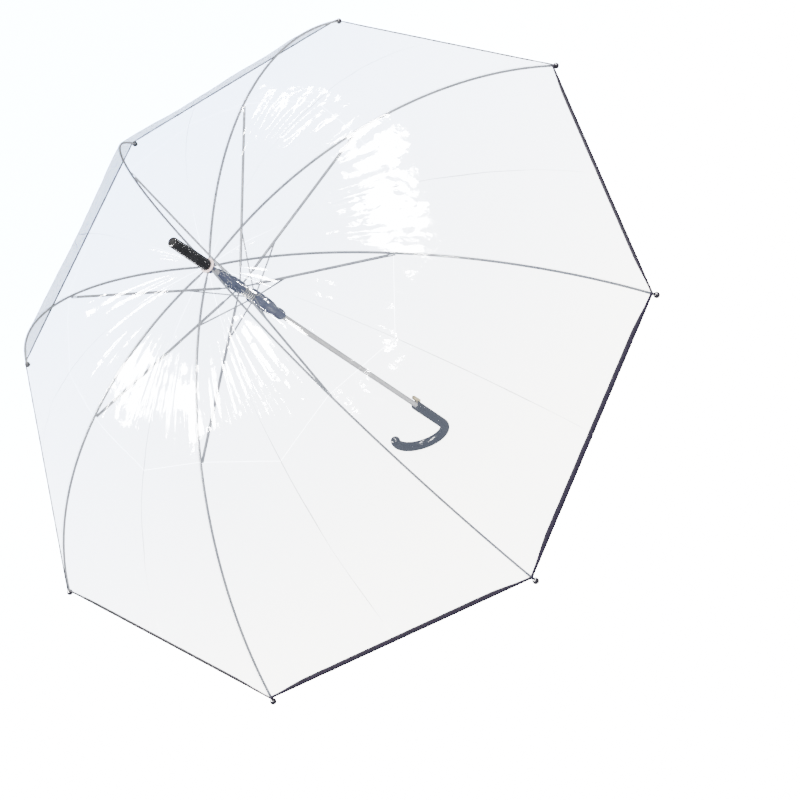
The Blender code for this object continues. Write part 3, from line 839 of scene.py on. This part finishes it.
def slot_blocks(low, high):
    return [block(low, high, azimuth) for _, azimuth in ribs()]


def upper_runner_piece():
    """The sleeve with its slotted collar, and the tube that keeps the spring off the shaft; the
    tube's dark plastic is also painted shade, darkening the shaft seen between the spring's
    turns.
    """
    collar, groove, half = 0.0086, 0.0059, 0.0009
    corners = [
        (BORE, 0.0), (BORE, -GUIDE_AND_SHADE_LENGTH), (GUIDE_AND_SHADE_RADIUS, -GUIDE_AND_SHADE_LENGTH),
        (GUIDE_AND_SHADE_RADIUS, -COLLAR_BELOW), (collar, -COLLAR_BELOW), (collar, -half), (groove, -half),
        (groove, half), (collar, half), (collar, 0.0196), (0.0073, 0.0212), (0.0069, 0.0300),
        (0.0068, 0.0306), (0.0064, 0.0312), (0.0056, 0.0530), (0.0052, 0.0540),
        (BORE, 0.0540), (BORE, 0.030),
    ]
    body = lathe(rounded(corners, 0.0005), 48, "upper_runner")
    slots = slot_blocks((0.0049, -SLOT_HALF, -0.0026), (0.0100, SLOT_HALF, 0.0190))
    mesh = carved(body, slots)
    mesh.transform(Matrix.Translation((0.0, 0.0, HUB_Z + RUNNER_HINGE_Z)))
    piece("upper_runner_sleeve", mesh, GREY_PLASTIC, "upper_runner", ["upper_runner"])


def lower_runner_piece():
    """The bell over the spring, with its waist and its knob."""
    corners = [
        (BORE, -0.060), (BORE, -0.0780), (0.0052, -0.0780), (0.0070, -0.0752), (0.0076, -0.0715),
        (0.0076, -0.0660), (0.0070, -0.0610), (0.0062, -0.0575), (0.0062, -0.0550),
        (0.0078, -0.0505), (0.0090, -0.0450), (0.0096, -0.0360), (0.0097, -0.0352),
        (0.0099, -0.0344), (0.0100, -0.0200), (0.0100, CUP_RIM), (CUP_RADIUS, CUP_RIM),
        (CUP_RADIUS, CUP_FLOOR), (BORE, CUP_FLOOR), (BORE, -0.050),
    ]
    body = lathe(rounded(corners, 0.0008), 48, "lower_runner")
    slots = slot_blocks((0.0066, -SLOT_HALF, -0.0030), (0.0110, SLOT_HALF, CUP_RIM + 0.001))
    mesh = carved(body, slots)
    mesh.transform(Matrix.Translation((0.0, 0.0, HUB_Z + LINK_FOOT_Z)))
    piece("lower_runner_bell", mesh, GREY_PLASTIC, "lower_runner", ["lower_runner"])


def spring_piece():
    """The jump spring: open turns, with a closed turn at each end."""
    wire, turns, per_turn = WIRE_RADIUS, COIL_TURNS, 24
    top = HUB_Z + RUNNER_HINGE_Z - (COLLAR_BELOW + SPRING_CLEAR) - wire
    bottom = HUB_Z + LINK_FOOT_Z + CUP_FLOOR + SPRING_CLEAR + wire
    pitch = (top - bottom - 4 * wire) / (turns - 2)
    rings = []
    for i in range(turns * per_turn + 1):
        turn = i / per_turn
        around = 2 * math.pi * turn
        closed_start, closed_end = min(turn, 1.0), max(turn - (turns - 1), 0.0)
        height = bottom + 2 * wire * (closed_start + closed_end)
        height += pitch * (min(max(turn, 1.0), turns - 1) - 1)
        out = Vector((math.cos(around), math.sin(around), 0.0))
        centre = out * COIL_RADIUS + Vector((0.0, 0.0, height))
        ring = []
        for j in range(8):
            about = 2 * math.pi * j / 8
            ring.append(
                centre + out * wire * math.cos(about) + Vector((0, 0, wire * math.sin(about)))
            )
        rings.append(ring)
    spring = piece(
        "spring_coil", tube_mesh(rings, "spring"), WIRE_STEEL, "upper_runner", ["jump_spring"]
    )
    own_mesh(spring)


# ---------------------------------------------------------------- handle and button

def handle_piece():
    """The hooked handle: one smooth sweep with rounded ends, bored and pocketed."""
    sides, steps = 40, 72
    stations = []
    for i in range(5):
        inset = math.radians(90 * i / 4)
        depth = HANDLE_EDGE * (1 - math.sin(inset))
        share = 1 - HANDLE_EDGE / HANDLE_RADIUS * (1 - math.cos(math.pi / 2 - inset))
        stations.append((Vector((0.0, HANDLE_TOP - HANDLE_EDGE + depth)), -math.pi / 2, share))
    for i in range(1, 7):
        z = HANDLE_TOP - HANDLE_EDGE + (HANDLE_BOTTOM - HANDLE_TOP + HANDLE_EDGE) * i / 7
        stations.append((Vector((0.0, z)), -math.pi / 2, 1.0))
    for i in range(steps + 1):
        around = HOOK_SWEEP * i / steps
        x = HOOK_RADIUS * (1 - math.cos(around))
        z = HANDLE_BOTTOM - HOOK_RADIUS * math.sin(around)
        stations.append((Vector((x, z)), around - math.pi / 2, 1.0))
    end, slope, _ = stations[-1]
    for i in range(1, 9):
        off = math.radians(88 * i / 8)
        stations.append((along(end, slope, HOOK_CAP * math.sin(off)), slope, math.cos(off)))
    rings = []
    for point, slope, share in stations:
        centre = Vector((point.x, 0.0, point.y))
        normal = Vector((-math.sin(slope), 0.0, math.cos(slope)))
        ring = []
        for j in range(sides):
            about = 2 * math.pi * j / sides
            radius = HANDLE_RADIUS * share
            ring.append(
                centre + normal * radius * math.cos(about)
                + Vector((0.0, radius * math.sin(about), 0.0))
            )
        rings.append(ring)
    body = tube_mesh(rings, "handle")
    bore = lathe(
        [(0.0, HANDLE_TOP - SOCKET_DEPTH), (BORE, HANDLE_TOP - SOCKET_DEPTH),
         (BORE, HANDLE_TOP + 0.002), (0.0, HANDLE_TOP + 0.002)],
        40,
    )
    pocket = block(
        (0.0030, -0.0028, HANDLE_TOP - 0.0103), (0.0100, 0.0028, HANDLE_TOP + 0.002),
        BUTTON_AZIMUTH,
    )
    piece("handle_hook", carved(body, [bore, pocket]), BLACK_PLASTIC, "grip", ["handle"])


def button_piece():
    """The release button: a soft-edged pad with three grip ridges, and its stem."""
    low, high = HANDLE_TOP - 0.010, HANDLE_TOP + 0.012
    pad = block((0.0066, -0.0025, low), (0.0118, 0.0025, high))
    parts = [pad, block((0.0031, -0.0012, low + 0.001), (0.0070, 0.0012, HANDLE_TOP - 0.002))]
    for i in range(3):
        z = HANDLE_TOP + 0.0035 + 0.0028 * i
        parts.append(block((0.0112, -0.0019, z), (0.0122, 0.0019, z + 0.0010)))
    mesh = joined(parts, "button")
    mesh.transform(Matrix.Rotation(BUTTON_AZIMUTH, 4, "Z"))
    button = piece("button_pad", mesh, CREAM, "release", ["release_button"])
    soft = button.modifiers.new("soft_edges", "BEVEL")
    soft.width = 0.0005
    soft.segments = 3


# ---------------------------------------------------------------- CAD pieces that stay

def finish_kept_nodes():
    """New materials for the CAD nodes whose shape already is right."""
    finishes = {"hub_notch": GREY_PLASTIC, "hub_wire": WIRE_STEEL, "runner_wire": WIRE_STEEL,
                "runner_catch": WIRE_STEEL}
    for number, _ in ribs():
        finishes[f"stretcher_{number}"] = RIB_STEEL
        finishes[f"link_{number}"] = RIB_STEEL
    for name, material in finishes.items():
        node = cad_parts[name]
        for slot in node.material_slots:
            slot.material = material


# ---------------------------------------------------------------- studio

def camera():
    data = bpy.data.cameras.new("camera")
    data.lens = CAMERA_LENS
    data.sensor_width = 36.0
    data.shift_x, data.shift_y = CAMERA_SHIFT
    data.clip_start, data.clip_end = 0.05, 60.0
    obj = bpy.data.objects.new("camera", data)
    obj.location = CAMERA_PLACE
    obj.rotation_euler = [math.radians(a) for a in CAMERA_TURN]
    bpy.context.scene.collection.objects.link(obj)
    bpy.context.scene.camera = obj


def floor():
    bm = bmesh.new()
    bmesh.ops.create_circle(bm, cap_ends=True, segments=96, radius=9.0)
    mesh = mesh_of(bm, "floor")
    mesh.materials.append(floor_finish())
    obj = bpy.data.objects.new("floor", mesh)
    obj.location.z = cad_box[0][2] - 0.0005
    bpy.context.scene.collection.objects.link(obj)
    for kind in ("visible_diffuse", "visible_glossy", "visible_shadow"):
        setattr(obj, kind, False)


def sky():
    """Even soft light, with a bright backdrop where the floor ends."""
    world = bpy.data.worlds.new("studio")
    bpy.context.scene.world = world
    world.use_nodes = True
    tree = world.node_tree
    tree.nodes.clear()
    light = tree.nodes.new("ShaderNodeBackground")
    light.inputs["Color"].default_value = (0.92, 0.95, 1.0, 1.0)
    light.inputs["Strength"].default_value = SKY_LIGHT
    backdrop = tree.nodes.new("ShaderNodeBackground")
    backdrop.inputs["Color"].default_value = (0.97, 0.98, 1.0, 1.0)
    backdrop.inputs["Strength"].default_value = FLOOR_GLOW
    seen = tree.nodes.new("ShaderNodeLightPath")
    mix = tree.nodes.new("ShaderNodeMixShader")
    output = tree.nodes.new("ShaderNodeOutputWorld")
    tree.links.new(seen.outputs["Is Camera Ray"], mix.inputs["Fac"])
    tree.links.new(light.outputs["Background"], mix.inputs[1])
    tree.links.new(backdrop.outputs["Background"], mix.inputs[2])
    tree.links.new(mix.outputs["Shader"], output.inputs["Surface"])


def softbox(name, azimuth_deg, t, distance, size, brightness):
    """A lamp that the film mirrors to the camera at that azimuth and share of its length."""
    angle = rib_angle(t)
    turn = Matrix.Rotation(math.radians(azimuth_deg), 3, "Z")
    point = curve_point(t, FILM_LIFT)
    spot = turn @ Vector((point.x, 0.0, point.y)) + Vector((0.0, 0.0, HUB_Z))
    normal = turn @ Vector((math.sin(angle), 0.0, math.cos(angle)))
    ray = (spot - Vector(CAMERA_PLACE)).normalized()
    mirrored = ray - 2 * ray.dot(normal) * normal
    data = bpy.data.lights.new(name, "AREA")
    data.shape = "RECTANGLE"
    data.size, data.size_y = size
    data.energy = brightness * math.pi * size[0] * size[1]
    obj = bpy.data.objects.new(name, data)
    obj.location = spot + mirrored * distance
    obj.rotation_euler = (-mirrored).to_track_quat("-Z", "Y").to_euler()
    obj.visible_diffuse = False
    obj.visible_camera = False
    bpy.context.scene.collection.objects.link(obj)


def soft_sun(name, towards, colour, strength):
    """Broad even light that matt surfaces take, and that leaves no glint on the film."""
    data = bpy.data.lights.new(name, "SUN")
    data.angle = math.radians(40)
    data.energy = strength
    data.color = colour
    obj = bpy.data.objects.new(name, data)
    obj.rotation_euler = Vector(towards).to_track_quat("-Z", "Y").to_euler()
    obj.visible_glossy = False
    bpy.context.scene.collection.objects.link(obj)


def studio():
    camera()
    floor()
    sky()
    soft_sun("key", (0.35, -0.35, -0.87), (0.95, 0.97, 1.0), 13.0)
    soft_sun("fill", (0.50, -0.75, 0.30), (1.0, 0.97, 0.94), 7.0)
    softbox("window_high", 181, 0.45, 2.2, (0.55, 0.60), 480)
    softbox("window_side", 150, 0.54, 2.4, (0.14, 0.40), 520)
    softbox("window_near", 139, 0.50, 2.4, (0.10, 0.25), 520)
    softbox("window_front", 100, 0.38, 2.4, (0.14, 0.35), 480)
    softbox("window_low", 64, 0.31, 2.4, (0.95, 0.9), 420)
    softbox("window_left", 30, 0.33, 2.2, (0.40, 0.70), 380)
    softbox("window_back", 222, 0.44, 2.4, (0.10, 0.8), 420)


rib_pieces()
canopy()
shaft_piece()
ferrule_piece()
rosette_piece()
upper_runner_piece()
lower_runner_piece()
spring_piece()
handle_piece()
button_piece()
finish_kept_nodes()
studio()
